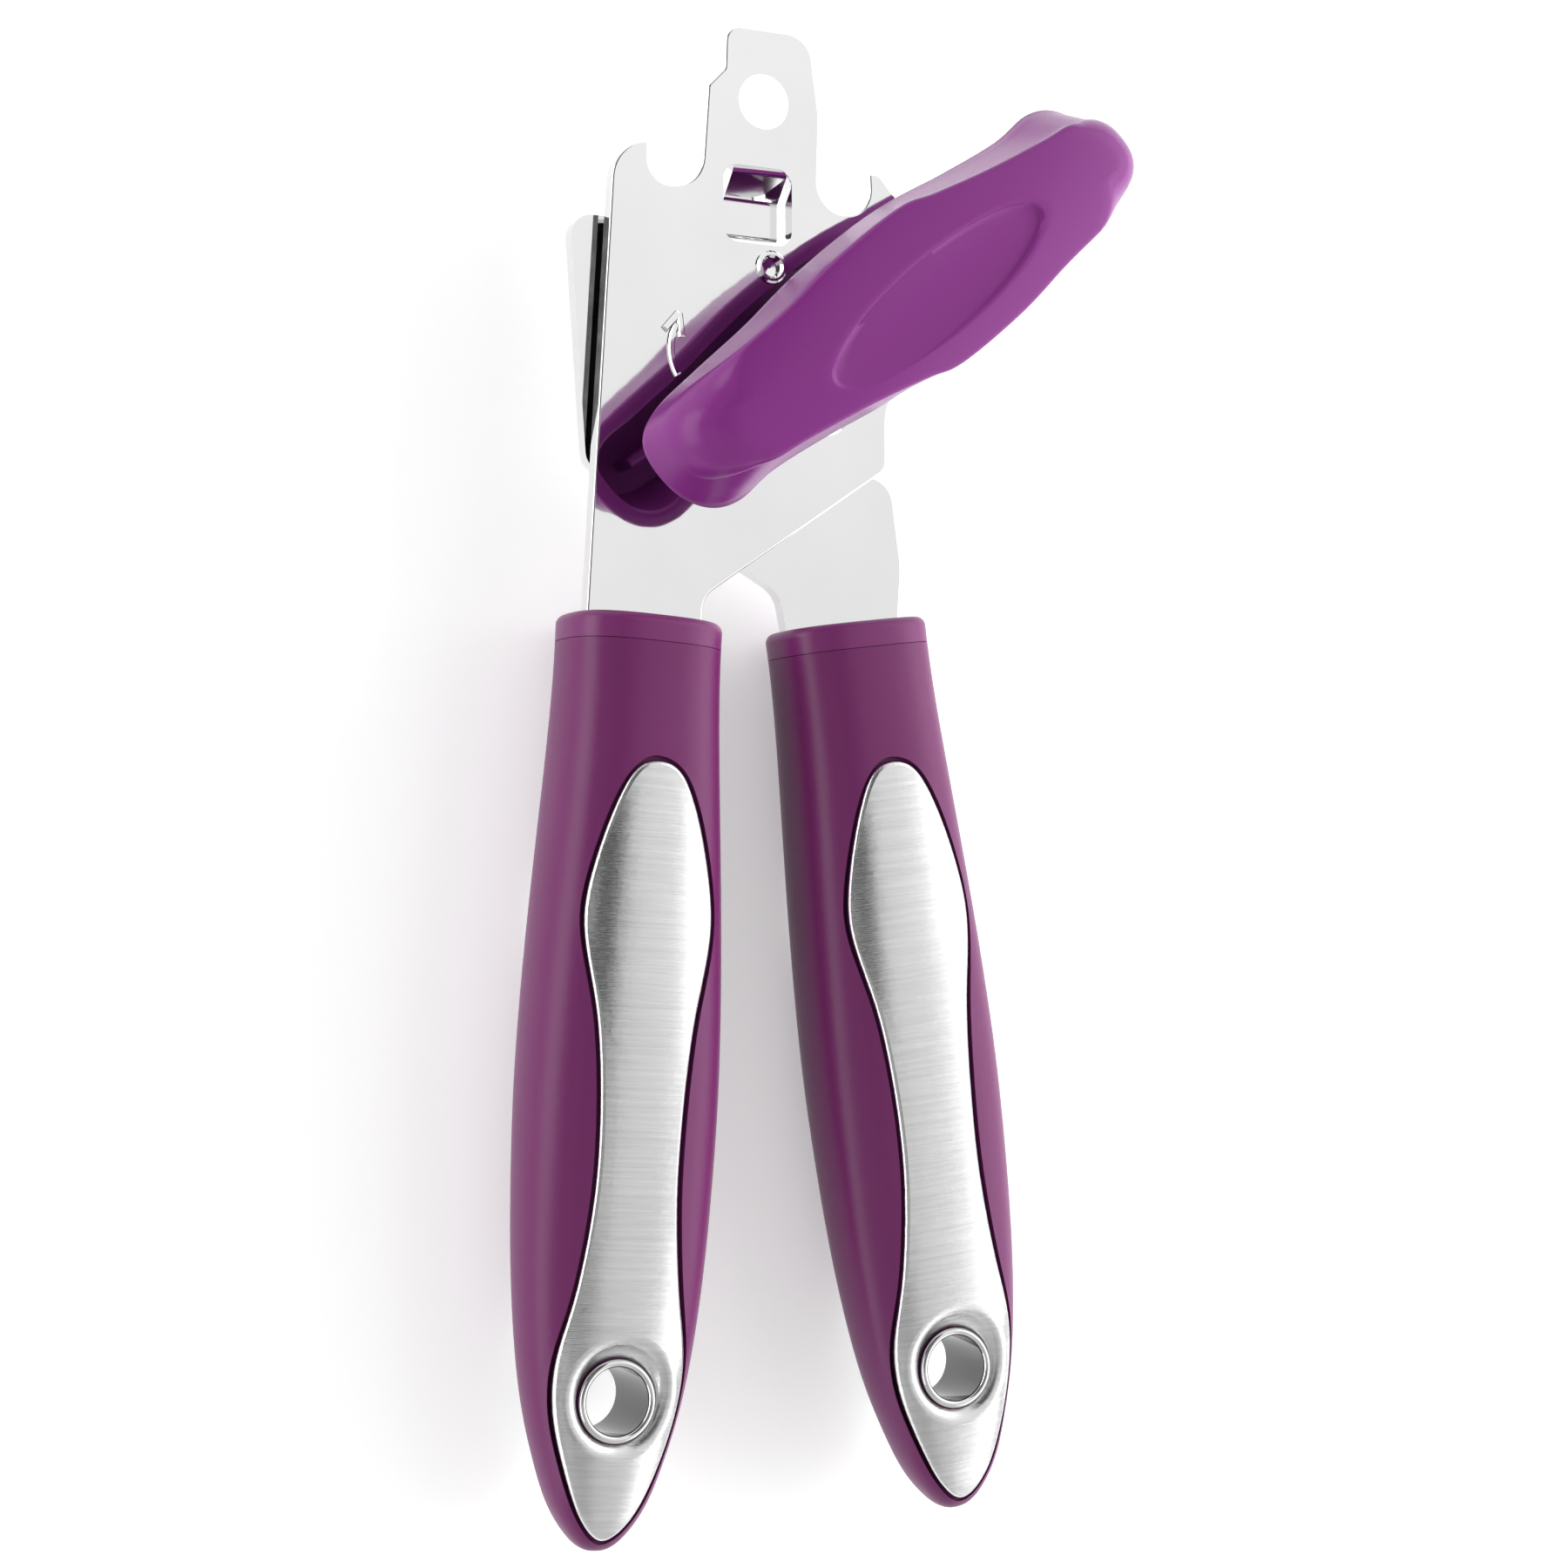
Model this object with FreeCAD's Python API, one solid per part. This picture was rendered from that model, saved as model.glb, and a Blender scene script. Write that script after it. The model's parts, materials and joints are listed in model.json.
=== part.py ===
import FreeCAD, Part
import math
import os

# Manual can opener, scissor type, lying on its back: millimetres, +Z up.
# X runs across the handles, Y runs from the handles to the head, and the knob is on top.
# Heights are measured from the surface the opener lies on. Plan positions are measured from
# a drawing point between the handles, and main() moves everything to the final origin.

V = FreeCAD.Vector

# ---- driving dimensions -------------------------------------------------------------------
CENTRE_X = 4.4            # drawing point to the middle of the overall box
CENTRE_Y = 1.3

HANDLE_MID_Z = 9.5        # middle plane of both handles, half their greatest thickness
PLATE_T = 2.0             # thickness of both steel plates
PLATE_GAP = 1.0           # between the plates, filled by the pivot washer
FRONT_Z = HANDLE_MID_Z + PLATE_GAP / 2            # back face of the front plate
FRONT_TOP = FRONT_Z + PLATE_T
BACK_TOP = HANDLE_MID_Z - PLATE_GAP / 2           # front face of the back plate
BACK_Z = BACK_TOP - PLATE_T

SHAFT = (10.4, 64.7)      # axis of the knob, drive gear and feed wheel
CUTTER = (-4.6, 63.7)     # axis of the cutter wheel
PIVOT = (5.9, 51.8)       # handle pivot
STOP = (-2.0, 70.3)       # stop rivet that the back plate closes against
HANG_HOLE = (-3.1, 93.0)  # in the tongue
WINDOW = (-4.0, 78.6)     # middle of the window above the stop rivet

LEFT_TOP = (-20.3, 21.4)  # where each handle's axis leaves its collar
RIGHT_TOP = (10.6, 22.3)
LEFT_LEAN = -2.9          # degrees from the Y axis
RIGHT_LEAN = 8.0

# ---- running fits and small parts -----------------------------------------------------------
FIT = 0.05                # radial clearance of a shaft in its hole
SHAFT_R = 3.5
BUSH_R = 5.2
SLEEVE_R = 4.6
PIVOT_R = 3.0
STUD_R = 2.6
STOP_R = 1.6
HANG_HOLE_R = 3.8
WINDOW_W = 10.4
WINDOW_H = 10.6
WINDOW_CORNER = 2.2
TAB_W = 8.2               # guide tab lanced out of the window
TAB_X = -3.5              # its middle, a little right of the window's
ARROW_CENTRE = (-10.0, 58.0)
ARROW_R = 7.0
ARROW_ARC = (152, 212)    # degrees that the arrow's shaft covers
ARROW_BARBS = (229, 277)  # directions of the two strokes of its head
ARROW_BARB_LENGTH = 3.3
ARROW_TIP = (7.5, 141)    # distance and direction of its point from the shaft's centre
ARROW_W = 0.95
ARROW_PROUD = 0.45
ARROW_BEVEL = 0.2
ARROW_SUNK = 0.5          # the raised shape starts this far inside the plate
TANG_W = 14.0
TANG_END = 90.0           # distance of the tang's end from the collar
PIN_R = 2.0
PIN_PLACES = (50.0, 76.0)

# ---- gears, feed wheel and cutter -----------------------------------------------------------
TEETH = 15
CENTRES = math.dist(SHAFT, CUTTER)
MODULE = CENTRES / TEETH
GEAR_T = 2.0
GEAR_TOP = BACK_Z - 0.5
GEAR_Z = GEAR_TOP - GEAR_T
FEED_T = 1.8
FEED_Z = GEAR_Z - 0.1 - FEED_T
FEED_R = 7.5
FEED_TEETH = 26
CUTTER_R = 9.4
CUTTER_T = 1.05
CUTTER_Z = FEED_Z - 0.35 - CUTTER_T
SQUARE = 5.0              # square end of the drive shaft

# ---- knob -----------------------------------------------------------------------------------
KNOB_TURN = 37.0          # degrees from the X axis to the knob's long axis
KNOB_RIM_Z = FRONT_TOP + 9.5
KNOB_WALL = 2.2
KNOB_BOSS_R = 5.6
BOSS_DROP = 1.0           # the boss reaches this far below the rim
RIB_W = 1.6               # ribs from the boss to the ends of the hollow
RIB_REACH = 34.0
RIB_RISE = 2.0            # their lower edge above the rim
ROOF_BITE = 0.5           # how far boss and ribs run into the roof of the hollow
JOURNAL_DROP = 2.5        # the shaft's round part ends this far below the rim
KNOB_EDGE_R = 1.7         # rounding between the flanks and the crown
# One half of the outline as (along, across), each at a height above the rim, clockwise from the
# middle of the side nearest the hang hole. The other half is the same turned half way round.
# On the side where a thumb pushes, the flank is hollowed above a flared rim.
KNOB_OUTLINES = (
    (0.0, ((1, 11.0), (9, 10.8), (18, 9.7), (28, 8.9), (34.6, 9.4), (38.9, 7.8), (41.7, 4.0),
           (42.6, -1.3), (41.4, -4.8), (37.5, -6.8), (30, -7.8), (20, -8.8), (10, -10.3))),
    (5.0, ((1.5, 10.9), (8.5, 10.1), (17.5, 8.8), (27.5, 7.7), (33.6, 7.7), (37.9, 6.0),
           (41.0, 2.9), (42.1, -1.6), (40.9, -4.9), (37.2, -6.8), (30, -7.8), (20, -8.8),
           (10, -10.3))),
    (10.0, ((2, 10.8), (8, 9.5), (17, 7.9), (27, 6.6), (32.7, 6.2), (36.6, 4.7), (40.0, 1.9),
            (41.1, -2.0), (39.9, -5.0), (36.7, -6.9), (30, -7.8), (20, -8.8), (10, -10.3))),
    (16.0, ((2, 10.8), (8, 9.6), (17, 8.0), (27, 6.8), (32.4, 6.1), (35.6, 4.6), (38.4, 1.6),
            (39.8, -2.0), (38.7, -4.8), (35.8, -6.7), (30, -7.7), (20, -8.7), (10, -10.2))),
)
CROWN_Z = KNOB_RIM_Z + 14.8                       # highest point of the knob
CROWN_SPREAD = (76.0, 26.9, 20.0)                 # half axes of the ellipsoid that domes the top
LID_Z = CROWN_Z - 5.0                             # roof of the hollow underneath
RECESS_LONG = 20.0        # half axes of the oval recess in the knob's top
RECESS_WIDE = 5.2
RECESS_DEEP = 1.2         # at its middle, below the crown
RECESS_SPREAD = (116.0, 17.2, 10.0)               # half axes of the bowl that is its floor
RECESS_PLACE = (-0.3, -1.45)
RECESS_TURN = 3.0
SOCKET_Z = CROWN_Z - 3.6  # top of the square socket for the shaft
JOURNAL_Z = KNOB_RIM_Z - JOURNAL_DROP

# ---- handles --------------------------------------------------------------------------------
# (distance from the collar's top, half width, half thickness)
GRIP_SECTIONS = (
    (0, 11.0, 8.3), (4, 10.9, 8.4), (14, 11.1, 8.8), (26, 11.8, 9.15), (38, 12.6, 9.25),
    (50, 13.2, 9.3), (62, 13.5, 9.15), (73, 13.35, 8.75), (84, 12.9, 8.1), (95, 11.9, 7.3),
    (104, 10.4, 6.3), (111, 8.4, 5.4), (116.5, 6.2, 4.2),
)
GRIP_TIP = ((119.6, 4.1, 2.9), (121.2, 2.4, 1.7), (121.8, 1.0, 0.75))
CUT_TIP = ((120, 3.9, 2.8), (121.7, 1.9, 1.4))  # plainer end of the surfaces that shape the inlays
SECTION_POWER = 2.7       # squareness of the grip's oval section
COLLAR_LENGTH = 3.6
COLLAR_GAP = 0.08         # fine line between collar and grip
COLLAR_ROUND = 1.3
# Half of the inlay's outline: (distance from the collar's top, half width)
INLAY_OUTLINE = (
    (20.4, 3.0), (23.5, 5.0), (28.6, 6.9), (34.4, 8.4), (40.1, 9.1), (46, 8.4), (51.8, 7.2),
    (58, 6.4), (66, 5.9), (75, 5.9), (83, 6.6), (90, 7.7), (97, 9.0), (104, 8.6),
    (110, 6.9), (114.6, 5.1), (118.2, 3.0),
)
INLAY_ENDS = (19.3, 120.3)
INLAY_PROUD = 0.15        # crown of the inlay above the grip
INLAY_DEEP = 1.0          # seat of the inlay below the grip's surface
GROOVE = 0.55             # dark gap around the inlay
EYELET_AT = 102.2
EYELET_BORE_R = 4.4
EYELET_TUBE_R = 4.9
EYELET_RING_R = 0.5       # radius of the rolled rim
EYELET_SEAT_R = 5.6       # clearance hole around the rolled rim
EYELET_HALF = 5.1         # half the tube's length between the rolled rims
EYELET_FLOOR = EYELET_HALF - EYELET_RING_R - 0.05  # seat under each rolled rim
DISH_BALL_R = 8.8         # ball that presses the dish around the eyelet
DISH_DROP = 0.2           # rim of the dish below the middle of the rolled rim
DISH_ROUND = 2.0          # rounding where the dish runs out into the inlay's face
INLAY_LIP = 0.7           # rounding of the inlay's upper edge


# ---- general helpers --------------------------------------------------------------------------
def at(x, y, z=0.0):
    return V(x, y, z)


def polar(centre, radius, degrees, z=0.0):
    angle = math.radians(degrees)
    return V(centre[0] + radius * math.cos(angle), centre[1] + radius * math.sin(angle), z)


def cylinder(centre, radius, bottom, top):
    return Part.makeCylinder(radius, top - bottom, at(centre[0], centre[1], bottom))


def rounded_wire(corners, z=0.0):
    """Closed outline from (x, y, corner radius) points, with a tangent arc at each corner."""
    edges = []
    starts = []
    ends = []
    count = len(corners)
    for i, (x, y, radius) in enumerate(corners):
        here = V(x, y, z)
        back = V(*corners[i - 1][:2], z) - here
        ahead = V(*corners[(i + 1) % count][:2], z) - here
        back.normalize()
        ahead.normalize()
        half = back.getAngle(ahead) / 2
        if radius <= 0 or half > math.radians(89.5):
            starts.append(here)
            ends.append(here)
            edges.append(None)
            continue
        reach = radius / math.tan(half)
        middle = back + ahead
        middle.normalize()
        centre = here + middle * (radius / math.sin(half))
        starts.append(here + back * reach)
        ends.append(here + ahead * reach)
        edges.append(Part.Arc(starts[-1], centre - middle * radius, ends[-1]).toShape())
    wire = []
    for i in range(count):
        if edges[i] is not None:
            wire.append(edges[i])
        if ends[i].distanceToPoint(starts[(i + 1) % count]) > 1e-4:
            wire.append(Part.LineSegment(ends[i], starts[(i + 1) % count]).toShape())
    return Part.Wire(wire)


def slab(corners, bottom, top):
    return Part.Face(rounded_wire(corners, bottom)).extrude(V(0, 0, top - bottom))


def smooth_wire(points):
    curve = Part.BSplineCurve()
    curve.interpolate(Points=points, PeriodicFlag=True)
    return Part.Wire([curve.toShape()])


def revolve(profile, centre):
    """Solid of revolution about a vertical axis from (radius, height) points."""
    points = [V(r, 0, z) for r, z in profile]
    wire = Part.makePolygon(points + points[:1])
    solid = Part.Face(wire).revolve(V(0, 0, 0), V(0, 0, 1), 360)
    solid.translate(at(*centre))
    return solid


def to_knob(shape):
    """Turn and move a shape from the knob's own axes to the shaft."""
    shape = shape.copy()
    shape.rotate(V(0, 0, 0), V(0, 0, 1), KNOB_TURN)
    shape.translate(at(*SHAFT))
    return shape


def to_handle(shape, top, lean):
    """Turn and move a shape from the handle's own axes, where the grip runs along -Y."""
    shape = shape.copy()
    shape.rotate(V(0, 0, 0), V(0, 0, 1), lean)
    shape.translate(at(top[0], top[1], HANDLE_MID_Z))
    return shape


# ---- plates -----------------------------------------------------------------------------------
def tang(top, lean, bottom, thickness):
    """Strip of plate that runs down inside a handle, with the holes for its two pins."""
    half = TANG_W / 2
    strip = slab([(-half, 3, 0), (half, 3, 0), (half, -TANG_END, 4), (-half, -TANG_END, 4)],
                 bottom - HANDLE_MID_Z, bottom - HANDLE_MID_Z + thickness)
    for place in PIN_PLACES:
        strip = strip.cut(cylinder((0, -place), PIN_R, -20, 20))
    return to_handle(strip, top, lean)


def guide_tab():
    """Tongue lanced from the window's top edge, bent back and then level with the plate."""
    root = WINDOW[1] + 6.9      # where it leaves the plate
    bend = WINDOW[1] + 4.8      # first bend, down behind the plate
    heel = WINDOW[1] + 1.2      # second bend, level again
    end = WINDOW[1] - 3.9
    drop = 3.3
    skin = 1.5
    profile = [(root, -0.1, 0), (bend, -0.1, 1.9), (heel, -drop, 0.9), (end, -drop, 0.4),
               (end, -drop - skin, 0.4), (heel + 0.7, -drop - skin, 2.4),
               (bend + 0.3, -PLATE_T, 0.5), (root, -PLATE_T, 0)]
    flat = Part.Face(rounded_wire(profile)).extrude(V(0, 0, TAB_W))
    # the profile is drawn as (y, height) and stood up so that it is swept along X
    flat.rotate(V(0, 0, 0), V(1, 1, 1), 120)
    flat.translate(V(TAB_X - TAB_W / 2, 0, FRONT_TOP))
    return flat


def arrow():
    """Raised turning arrow: a curved shaft with an open head, its upper edges bevelled."""
    start, end = ARROW_ARC
    half = ARROW_W / 2
    sunk = FRONT_TOP - ARROW_SUNK
    tall = ARROW_SUNK + ARROW_PROUD
    ring = cylinder(ARROW_CENTRE, ARROW_R + half, sunk, sunk + tall)
    ring = ring.cut(cylinder(ARROW_CENTRE, ARROW_R - half, sunk - 1, sunk + tall + 1))
    reach = 2 * ARROW_R
    wedge = Part.makePolygon([at(*ARROW_CENTRE), polar(ARROW_CENTRE, reach, start),
                              polar(ARROW_CENTRE, reach, end), at(*ARROW_CENTRE)])
    wedge = Part.Face(wedge)
    wedge.translate(V(0, 0, sunk - 1))
    shape = bevel(ring.common(wedge.extrude(V(0, 0, tall + 2))), sunk + tall, ARROW_BEVEL)
    tip = polar(ARROW_CENTRE, *ARROW_TIP)
    for along in ARROW_BARBS:
        bar = bevel(Part.makeBox(ARROW_BARB_LENGTH, ARROW_W, tall, V(0, -half, 0)), tall,
                    ARROW_BEVEL)
        bar.rotate(V(0, 0, 0), V(0, 0, 1), along)
        bar.translate(V(tip.x, tip.y, sunk))
        shape = shape.fuse(bar)
    return shape.removeSplitter()


def front_plate():
    outline = [
        (-29.1, 20.0, 0), (-25.3, 84.7, 5.6), (-20.3, 85.5, 0.3), (-20.3, 79.5, 3.4),
        (-12.4, 80.4, 4.6), (-11.4, 94.3, 0.6), (-8.9, 96.9, 0.8), (-8.7, 102.9, 2.2),
        (4.0, 102.9, 3.6), (5.5, 92.0, 12), (5.1, 78.9, 4.2), (13.6, 78.6, 3.9),
        (13.3, 84.9, 0.3), (15.0, 84.9, 1.0), (20.6, 78.5, 5), (20.6, 58.0, 6),
        (15.9, 53.0, 6), (15.9, 43.9, 2.2), (-12.2, 24.6, 4.0), (-12.2, 20.0, 0),
    ]
    plate = slab(outline, FRONT_Z, FRONT_TOP)
    plate = ease(plate, FRONT_TOP, 0.3)
    plate = plate.fuse(tang(LEFT_TOP, LEFT_LEAN, FRONT_Z, PLATE_T))
    half = WINDOW_W / 2
    tall = WINDOW_H / 2
    x, y = WINDOW
    corners = ((x - half, y - tall), (x + half, y - tall),
               (x + half, y + tall), (x - half, y + tall))
    window = slab([(*corner, WINDOW_CORNER) for corner in corners], 0, 20)
    plate = plate.cut(window)
    plate = plate.fuse(guide_tab()).removeSplitter()
    plate = plate.cut(cylinder(HANG_HOLE, HANG_HOLE_R, 0, 20))
    plate = plate.cut(cylinder(SHAFT, BUSH_R, 0, 20))
    plate = plate.cut(cylinder(PIVOT, PIVOT_R, 0, 20))
    plate = plate.cut(cylinder(STOP, STOP_R, 0, 20))
    return plate.fuse(arrow())


def back_plate():
    outline = [
        (1.9, 21.0, 0), (0.8, 26.2, 4.0), (-27.9, 42.0, 2.6), (-30.4, 75.3, 3.0),
        (-20.5, 75.6, 5), (-12.0, 68.7, 5), (4.9, 68.7, 3), (5.1, 60.5, 4), (10.8, 57.4, 4),
        (12.9, 52.0, 3), (12.9, 43.0, 1.5), (17.9, 43.0, 3.6), (19.6, 31.0, 12), (19.0, 22.0, 0),
    ]
    plate = slab(outline, BACK_Z, BACK_TOP)
    plate = plate.fuse(tang(RIGHT_TOP, RIGHT_LEAN, BACK_Z, PLATE_T)).removeSplitter()
    plate = plate.cut(cylinder(PIVOT, PIVOT_R + FIT, 0, 20))
    plate = plate.cut(cylinder(CUTTER, STUD_R, 0, 20))
    return plate.cut(cylinder(STOP, STOP_R + 0.3, 0, 20))


def ease(solid, height, radius):
    """Round the outer edges that lie at one height."""
    return solid.makeFillet(radius, level_edges(solid, height))


def bevel(solid, height, size):
    """Bevel the outer edges that lie at one height."""
    return solid.makeChamfer(size, level_edges(solid, height))


def level_edges(solid, height):
    return [e for e in solid.Edges
            if abs(e.BoundBox.ZMin - height) < 1e-4 and abs(e.BoundBox.ZMax - height) < 1e-4]


# ---- pivot, stop and drive --------------------------------------------------------------------
def pivot_rivet():
    head_r = PIVOT_R + 1.1
    top = FRONT_TOP
    return revolve([(0, BACK_Z - 1.3), (head_r - 0.6, BACK_Z - 1.3), (head_r, BACK_Z - 0.7),
                    (head_r, BACK_Z - 0.05), (PIVOT_R, BACK_Z - 0.05), (PIVOT_R, top),
                    (head_r, top), (head_r, top + 0.5), (head_r - 0.8, top + 1.0),
                    (0, top + 1.1)], PIVOT)


def pivot_washer():
    ring = cylinder(PIVOT, 6.0, BACK_TOP + FIT, FRONT_Z)
    return ring.cut(cylinder(PIVOT, PIVOT_R, 0, 20))


def stop_rivet():
    """Tubular rivet: a rolled, dished front end and a shank that the back plate closes on."""
    rim = STOP_R + 0.65
    return revolve([(0, BACK_Z), (STOP_R, BACK_Z), (STOP_R, FRONT_TOP), (rim, FRONT_TOP),
                    (rim, FRONT_TOP + 0.3), (rim - 0.25, FRONT_TOP + 0.55),
                    (rim - 0.6, FRONT_TOP + 0.55), (rim - 0.95, FRONT_TOP + 0.2),
                    (rim - 1.05, FRONT_TOP - 0.6), (0, FRONT_TOP - 0.7)], STOP)


def shaft_bush():
    """Flanged bearing bush staked in the front plate; its sleeve reaches down to the gear."""
    bore = SHAFT_R + FIT
    return revolve([(bore, GEAR_TOP + 0.1), (SLEEVE_R, GEAR_TOP + 0.1),
                    (SLEEVE_R, FRONT_Z - 0.6), (BUSH_R, FRONT_Z - 0.6), (BUSH_R, FRONT_TOP),
                    (BUSH_R + 1.4, FRONT_TOP), (BUSH_R + 1.4, FRONT_TOP + 0.6),
                    (BUSH_R + 1.0, FRONT_TOP + 1.0), (bore, FRONT_TOP + 1.0)], SHAFT)


def square_prism(across, bottom, top):
    half = across / 2
    return Part.makeBox(across, across, top - bottom,
                        at(SHAFT[0] - half, SHAFT[1] - half, bottom))


def drive_shaft():
    """Round journal in the bush, flange under the knob and square ends for knob and wheels."""
    body = cylinder(SHAFT, SHAFT_R, GEAR_TOP, JOURNAL_Z)
    body = body.fuse(cylinder(SHAFT, SHAFT_R + 1.4, FRONT_TOP + 1.1, FRONT_TOP + 2.3))
    body = body.fuse(square_prism(SQUARE, FEED_Z, GEAR_TOP))
    body = body.fuse(square_prism(SQUARE, JOURNAL_Z, SOCKET_Z))
    return body.fuse(cylinder(SHAFT, 2.2, FEED_Z - 1.2, FEED_Z)).removeSplitter()


def end_washer():
    ring = cylinder(SHAFT, 4.0, FEED_Z - 1.2, FEED_Z)
    return ring.cut(cylinder(SHAFT, 2.2, 0, 20))


# ---- gears, feed wheel and cutter ---------------------------------------------------------------
def involute(base_r, r):
    """Polar angle of an involute of the base circle at one radius."""
    roll = math.acos(base_r / r)
    return math.tan(roll) - roll


def involute_tooth_points(half_angle_shift):
    """One tooth's outline as (radius, angle), root to tip and back, centred on angle zero."""
    pitch_r = MODULE * TEETH / 2
    base_r = pitch_r * math.cos(math.radians(20))
    root_r = pitch_r - 1.15 * MODULE
    tip_r = pitch_r + 0.85 * MODULE
    half = math.pi / (2 * TEETH) - half_angle_shift
    flank = []
    for step in range(5):
        r = base_r + 0.02 + (tip_r - base_r - 0.02) * step / 4
        flank.append((r, half + involute(base_r, pitch_r) - involute(base_r, r)))
    side = [(root_r, flank[0][1])] + flank
    return [(r, -a) for r, a in side] + [(r, a) for r, a in reversed(side)]


def spur_gear(centre, phase):
    backlash = 0.1 / (MODULE * TEETH / 2)
    points = []
    for tooth in range(TEETH):
        turn = phase + 2 * math.pi * tooth / TEETH
        for r, a in involute_tooth_points(backlash):
            points.append(V(centre[0] + r * math.cos(a + turn),
                            centre[1] + r * math.sin(a + turn), GEAR_Z))
    face = Part.Face(Part.makePolygon(points + points[:1]))
    return face.extrude(V(0, 0, GEAR_T))


def line_of_centres():
    return math.atan2(CUTTER[1] - SHAFT[1], CUTTER[0] - SHAFT[0])


def drive_gear():
    gear = spur_gear(SHAFT, line_of_centres())
    return gear.cut(square_prism(SQUARE, 0, 20))


def cutter_gear():
    # a gap of this gear faces the tooth of the drive gear on the line of centres
    gear = spur_gear(CUTTER, line_of_centres() + math.pi + math.pi / TEETH)
    hub = cylinder(CUTTER, 4.2, CUTTER_Z + CUTTER_T, GEAR_Z)
    return gear.fuse(hub).cut(cylinder(CUTTER, STUD_R + FIT, 0, 20))


def feed_wheel():
    points = []
    for tooth in range(FEED_TEETH):
        for radius, part in ((FEED_R, 0.0), (FEED_R - 0.7, 0.5)):
            points.append(polar(SHAFT, radius, 360 * (tooth + part) / FEED_TEETH, FEED_Z))
    wheel = Part.Face(Part.makePolygon(points + points[:1])).extrude(V(0, 0, FEED_T))
    return wheel.cut(square_prism(SQUARE, 0, 20))


def cutter_wheel():
    """Hardened disc, flat towards the feed wheel and bevelled to its edge on the other face."""
    return revolve([(STUD_R + FIT, CUTTER_Z), (CUTTER_R - 2.2, CUTTER_Z),
                    (CUTTER_R, CUTTER_Z + CUTTER_T - 0.12), (CUTTER_R, CUTTER_Z + CUTTER_T),
                    (STUD_R + FIT, CUTTER_Z + CUTTER_T)], CUTTER)


def cutter_stud():
    """Shoulder stud riveted through the back plate; its head keeps the cutter on."""
    head = CUTTER_Z - 0.05
    return revolve([(0, 0), (3.6, 0), (4.2, 0.4), (4.2, head), (STUD_R, head),
                    (STUD_R, BACK_TOP), (0, BACK_TOP)], CUTTER)


def cutter_washer():
    ring = cylinder(CUTTER, 4.4, GEAR_TOP + 0.05, BACK_Z)
    return ring.cut(cylinder(CUTTER, STUD_R, 0, 20))


# ---- knob -------------------------------------------------------------------------------------
def knob_outline(half, z, inset=0.0):
    """Smooth closed wire through both halves of an outline, moved inwards by the inset."""
    whole = list(half) + [(-u, -v) for u, v in half]
    moved = []
    for i, (u, v) in enumerate(whole):
        ahead = whole[(i + 1) % len(whole)]
        along = V(ahead[0] - whole[i - 1][0], ahead[1] - whole[i - 1][1], 0)
        along.normalize()
        moved.append(V(u, v, z) + V(along.y, -along.x, 0) * inset)
    return smooth_wire(moved)


def ellipsoid(half_axes, centre):
    matrix = FreeCAD.Matrix()
    matrix.scale(*half_axes)
    solid = Part.makeSphere(1.0).transformGeometry(matrix)
    solid.translate(centre)
    return solid


def knob_skin():
    """The knob's outside as a solid: lofted flanks under a domed crown with a rounded edge."""
    levels = [knob_outline(half, KNOB_RIM_Z + rise) for rise, half in KNOB_OUTLINES]
    skin = Part.makeLoft(levels, True)
    skin = skin.common(ellipsoid(CROWN_SPREAD, V(0, 0, CROWN_Z - CROWN_SPREAD[2])))
    crown_edges = [e for e in skin.Edges if e.BoundBox.ZMin > LID_Z]
    return skin.makeFillet(KNOB_EDGE_R, crown_edges)


def knob_hollow():
    """Space under the crown, a wall's thickness inside the flanks."""
    under = [knob_outline(half, KNOB_RIM_Z + rise, KNOB_WALL) for rise, half in KNOB_OUTLINES]
    hollow = Part.makeLoft(under, True)
    hollow = hollow.common(Part.makeBox(120, 60, LID_Z, V(-60, -30, 0)))
    return hollow.fuse(Part.Face(under[0]).extrude(V(0, 0, -1)))


def knob():
    """Hollow bar knob: wings on both sides of a boss that holds the shaft's square end."""
    shell = knob_skin().cut(knob_hollow())
    roof = LID_Z + ROOF_BITE
    boss_z = KNOB_RIM_Z - BOSS_DROP
    rib_z = KNOB_RIM_Z + RIB_RISE
    shell = shell.fuse(Part.makeCylinder(KNOB_BOSS_R, roof - boss_z, V(0, 0, boss_z)))
    shell = shell.fuse(Part.makeBox(2 * RIB_REACH, RIB_W, roof - rib_z,
                                    V(-RIB_REACH, -RIB_W / 2, rib_z)))
    shell = to_knob(shell.cut(knob_recess()))
    shell = shell.cut(cylinder(SHAFT, SHAFT_R, 0, JOURNAL_Z))
    return shell.cut(square_prism(SQUARE, JOURNAL_Z, SOCKET_Z))


def knob_recess():
    """Oval well in the crown with a low upright edge and a slightly bowled floor."""
    oval = Part.Wire([Part.Ellipse(V(0, 0, 0), RECESS_LONG, RECESS_WIDE).toShape()])
    well = Part.Face(oval).extrude(V(0, 0, 8))
    well.translate(V(0, 0, CROWN_Z - 4))
    floor_z = CROWN_Z - RECESS_DEEP
    well = well.common(ellipsoid(RECESS_SPREAD, V(0, 0, floor_z + RECESS_SPREAD[2])))
    well.rotate(V(0, 0, 0), V(0, 0, 1), RECESS_TURN)
    well.translate(at(*RECESS_PLACE))
    return well


# ---- handles ------------------------------------------------------------------------------------
def grip_body(tip, offset=0.0):
    """Lofted grip in the handle's own axes, grown by an offset all round."""
    wires = []
    for place, wide, thick in GRIP_SECTIONS + tip:
        points = []
        for step in range(20):
            angle = 2 * math.pi * (step + 0.5) / 20
            c, s = math.cos(angle), math.sin(angle)
            reach = (abs(c) ** SECTION_POWER + abs(s) ** SECTION_POWER) ** (-1 / SECTION_POWER)
            points.append(V((wide + offset) * reach * c, -place, (thick + offset) * reach * s))
        wires.append(smooth_wire(points))
    return Part.makeLoft(wires, True)


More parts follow.
